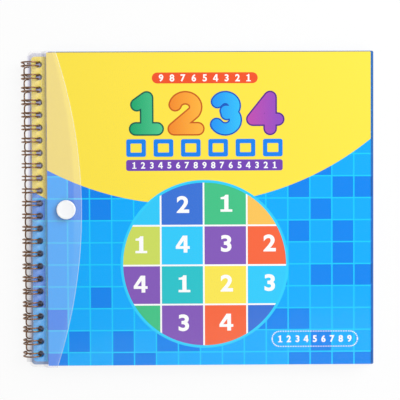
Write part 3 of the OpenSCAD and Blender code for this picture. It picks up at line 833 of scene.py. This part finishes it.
def addPrint(polygons, level, colourAt, hair=0.0):
    # level counts the layers of ink, and shapes that overlap lie a hair above each other
    z = book["coverZ"] + artSpec["lift"] + level * artSpec["layer"]
    for k, shape in enumerate(polygons):
        spots = [(x, y + artSpec["rise"], z + k * hair) for x, y in shape]
        face = inkForm.faces.new([inkForm.verts.new([c * mm for c in spot]) for spot in spots])
        faceUp(face)
        for loop in face.loops:
            loop[inkLayer] = colourAt(loop.vert.co.x / mm)


def flatInk(colour):
    return lambda x: linear(colour)


def fadedInk(first, second, middle, half):
    # two inks that run into each other from left to right
    def colourAt(x):
        share = min(max((x - middle) / (2 * half) + 0.5, 0), 1)
        return [a + (b - a) * share for a, b in zip(linear(first), linear(second))]
    return colourAt


whiteInk = flatInk(artSpec["white"])
disc = arc(*discSpec["centre"], discSpec["radius"], 0, 360, discSpec["steps"])[:-1]
addPrint([arc(*discSpec["centre"], discSpec["ringRadius"], 0, 360, discSpec["steps"])[:-1]], 0,
         flatInk(discSpec["ring"]))
addPrint([disc], 1, whiteInk)
halfLine = discSpec["line"] / 2
for r, row in enumerate(discSpec["cells"]):
    for c, ink in enumerate(row.split()):
        cell = disc
        if c > 0:
            cell = clipped(cell, 0, discSpec["columns"][c - 1] + halfLine, 1)
        if c < len(discSpec["columns"]):
            cell = clipped(cell, 0, discSpec["columns"][c] - halfLine, -1)
        if r > 0:
            cell = clipped(cell, 1, discSpec["rows"][r - 1] - halfLine, -1)
        if r < len(discSpec["rows"]):
            cell = clipped(cell, 1, discSpec["rows"][r] + halfLine, 1)
        addPrint([cell], 2, flatInk(discSpec["inks"][ink]))
for number, x, y in discSpec["digits"]:
    addPrint(placed(digitShape(number), x, y, discSpec["digitHeight"], artSpec["widen"]), 3, whiteInk)

left, right, low, high = titleSpec["box"]
stroke, edgeLine = titleSpec["stroke"], titleSpec["line"]
tall = high - low - stroke - 2 * edgeLine
for k, (number, colour, second, edge) in enumerate(titleSpec["digits"]):
    x = left + (right - left) * (k + 0.5) / len(titleSpec["digits"])
    lines = placed(titleLines[number], x, (low + high) / 2, tall, artSpec["widen"])
    addPrint(strokeShapes(lines, stroke + 2 * edgeLine), 0, flatInk(edge), artSpec["hair"])
    addPrint(strokeShapes(lines, stroke), 3, fadedInk(colour, second, x, titleSpec["fade"]), artSpec["hair"])

left, right, low, high = blankSpec["box"]
wide, rule = blankSpec["width"], blankSpec["rule"]
outerCorner, innerCorner = blankSpec["corners"]
for k in range(blankSpec["count"]):
    a = left + (right - left - wide) * k / (blankSpec["count"] - 1)
    addPrint([roundBox(a, a + wide, low, high, outerCorner)], 0, flatInk(blankSpec["colour"]))
    addPrint([roundBox(a + rule, a + wide - rule, low + rule, high - rule, innerCorner)], 1,
             flatInk(coverArt["yellow"]))

for bar in barSpec["bars"]:
    left, right, low, high = bar["box"]
    if bar["colour"]:
        addPrint([roundBox(*bar["box"], bar["corner"])], 0, flatInk(bar["colour"]))
    else:
        # a dotted border instead of a filled bar
        border = roundBox(*bar["box"], bar["corner"], barSpec["borderSteps"])
        half = barSpec["dotWidth"] / 2
        for before, after in zip(border, border[1:] + border[:1]):
            dots = max(1, round(math.dist(before, after) / barSpec["dotPitch"]))
            for k in range(dots):
                x, y = Vector(before).lerp(Vector(after), (k + 0.5) / dots)
                addPrint([roundBox(x - half, x + half, y - half, y + half, barSpec["dotCorner"],
                                   barSpec["dotSteps"])], 0, whiteInk)
    for k, number in enumerate(bar["digits"]):
        x = left + barSpec["inset"] + (right - left - 2 * barSpec["inset"]) * (k + 0.5) / len(bar["digits"])
        addPrint(placed(digitShape(int(number)), x, (low + high) / 2, bar["tall"]), 1, whiteInk)

bmesh.ops.remove_doubles(inkForm, verts=inkForm.verts, dist=mergeReach)
# printing ink on the laminated paper: flat colour with the same smooth gloss
inkPaint, tree, shader = newMaterial("printed_ink", {"Specular IOR Level": coverArt["specular"]})
pressPaper(tree, shader, coverArt["roughness"], True)
feed(tree, shader, {"Base Color": addNode(tree, "ShaderNodeAttribute", attribute_name="ink")})
inkPiece = newObject("cover_print_motifs", meshFrom("cover_print_motifs", inkForm), inkPaint)
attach(inkPiece, "pocket")


print("number tiles")
tileSpec = {"corner": 1.5, "cornerSteps": 5, "chamfer": 0.22, "digitLift": 0.02, "digitShare": 0.56,
            "digit": "#ffffff", "boards": {"9x9": {"cells": 9, "rows": 3, "columns": 3},
                                           "6x6": {"cells": 6, "rows": 2, "columns": 3},
                                           "4x4": {"cells": 4, "rows": 2, "columns": 2}}}
# screen printed white on the rubber, slightly raised and matt
digitPaint = plainPaint("white_screen_ink", tileSpec["digit"], roughness=0.5, grit=0.4, bumpHeight=0.004,
                        toneShift=0.01)


def tileTree():
    # sets a bevelled rounded tile with its digit on every point
    tree, given = newTree("number_tiles", {
        "Places": "Geometry", "Width": "Float", "Thick": "Float", "Corner": "Float", "Corner Steps": "Int",
        "Chamfer": "Float", "Digit": "Object", "Finish": "Material", "Ink": "Material"}, "Tiles")
    square = addNode(tree, "GeometryNodeCurvePrimitiveQuadrilateral", {"Width": given["Width"],
                                                                       "Height": given["Width"]})
    soft = addNode(tree, "GeometryNodeFilletCurve", {"Curve": square, "Count": given["Corner Steps"],
                                                     "Radius": given["Corner"]}, mode="POLY")
    sheet = addNode(tree, "GeometryNodeFillCurve", {"Curve": soft}, mode="NGONS")
    wall = addNode(tree, mathKind, {0: given["Thick"], 1: given["Chamfer"]}, operation="SUBTRACT")
    sides = addNode(tree, "GeometryNodeExtrudeMesh", {"Mesh": sheet, "Offset Scale": wall})
    top = addNode(tree, "GeometryNodeExtrudeMesh", {"Mesh": sides, "Selection": sides.outputs["Top"],
                                                    "Offset Scale": given["Chamfer"]})
    drawn = addNode(tree, mathKind, {0: given["Chamfer"], 1: given["Width"]}, operation="DIVIDE")
    shrunk = addNode(tree, mathKind, {0: drawn, 1: -2.0, 2: 1.0}, operation="MULTIPLY_ADD")
    bevel = addNode(tree, "GeometryNodeScaleElements", {"Geometry": top, "Selection": top.outputs["Top"],
                                                        "Scale": shrunk})
    under = addNode(tree, "GeometryNodeFlipFaces", {"Mesh": sheet})
    digit = addNode(tree, "GeometryNodeObjectInfo", {"Object": given["Digit"]}).outputs["Geometry"]
    marked = addNode(tree, "GeometryNodeStoreNamedAttribute", {"Geometry": digit, "Name": "isInk",
                                                               "Value": True},
                     data_type="BOOLEAN", domain="FACE")
    whole = addNode(tree, "GeometryNodeJoinGeometry")
    for part in (under, bevel, marked):
        feed(tree, whole, {0: part})
    spread = addNode(tree, "GeometryNodeInstanceOnPoints", {"Points": given["Places"], "Instance": whole})
    real = addNode(tree, "GeometryNodeRealizeInstances", {0: spread})
    body = addNode(tree, "GeometryNodeSetMaterial", {"Geometry": real, "Material": given["Finish"]})
    isInk = addNode(tree, "GeometryNodeInputNamedAttribute", {"Name": "isInk"}, data_type="BOOLEAN")
    done = addNode(tree, "GeometryNodeSetMaterial", {"Geometry": body, "Selection": isInk,
                                                     "Material": given["Ink"]})
    addNode(tree, "NodeGroupOutput", {0: done})
    return tree


def tileDigit(number, height, thick):
    # the digit alone, just above the tile's top
    form = bmesh.new()
    z = (thick + tileSpec["digitLift"]) * mm
    for shape in placed(digitShape(number), 0, 0, height, artSpec["widen"]):
        faceUp(form.faces.new([form.verts.new((x * mm, y * mm, z)) for x, y in shape]))
    return newObject("tile_digit", meshFrom("tile_digit", form))


def tilePlaces(name, number, board, z):
    # a point for each cell that holds the number in the solved board
    form = bmesh.new()
    cells = board["cells"]
    pitch = book["gridWidth"] / cells
    for r in range(cells):
        for c in range(cells):
            held = (board["columns"] * (r % board["rows"]) + r // board["rows"] + c) % cells + 1
            if held == number:
                x = book["gridX"] + pitch * (c - (cells - 1) / 2)
                form.verts.new((across(x), pitch * ((cells - 1) / 2 - r) * mm, z * mm))
    return newObject(name, meshFrom(name, form))


tileNodes = tileTree()
for side, board in tileSpec["boards"].items():
    width = book["gridWidth"] / board["cells"] - book["tileGap"]
    for number in range(1, board["cells"] + 1):
        name = f"tiles_{side}_number_{number}"
        tileLow, tileHigh = nodeBox(name)
        thick = tileHigh.z - tileLow.z
        digit = tileDigit(number, width * tileSpec["digitShare"], thick)
        tiles = runTree(tilePlaces(name + "_look", number, board, tileLow.z), tileNodes, {
            "Width": width * mm, "Thick": thick * mm, "Corner": tileSpec["corner"] * mm,
            "Corner Steps": tileSpec["cornerSteps"], "Chamfer": tileSpec["chamfer"] * mm, "Digit": digit,
            "Finish": tilePaints[number - 1], "Ink": digitPaint})
        bpy.data.objects.remove(digit)
        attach(tiles, "leaf_" + side)
        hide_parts(name)
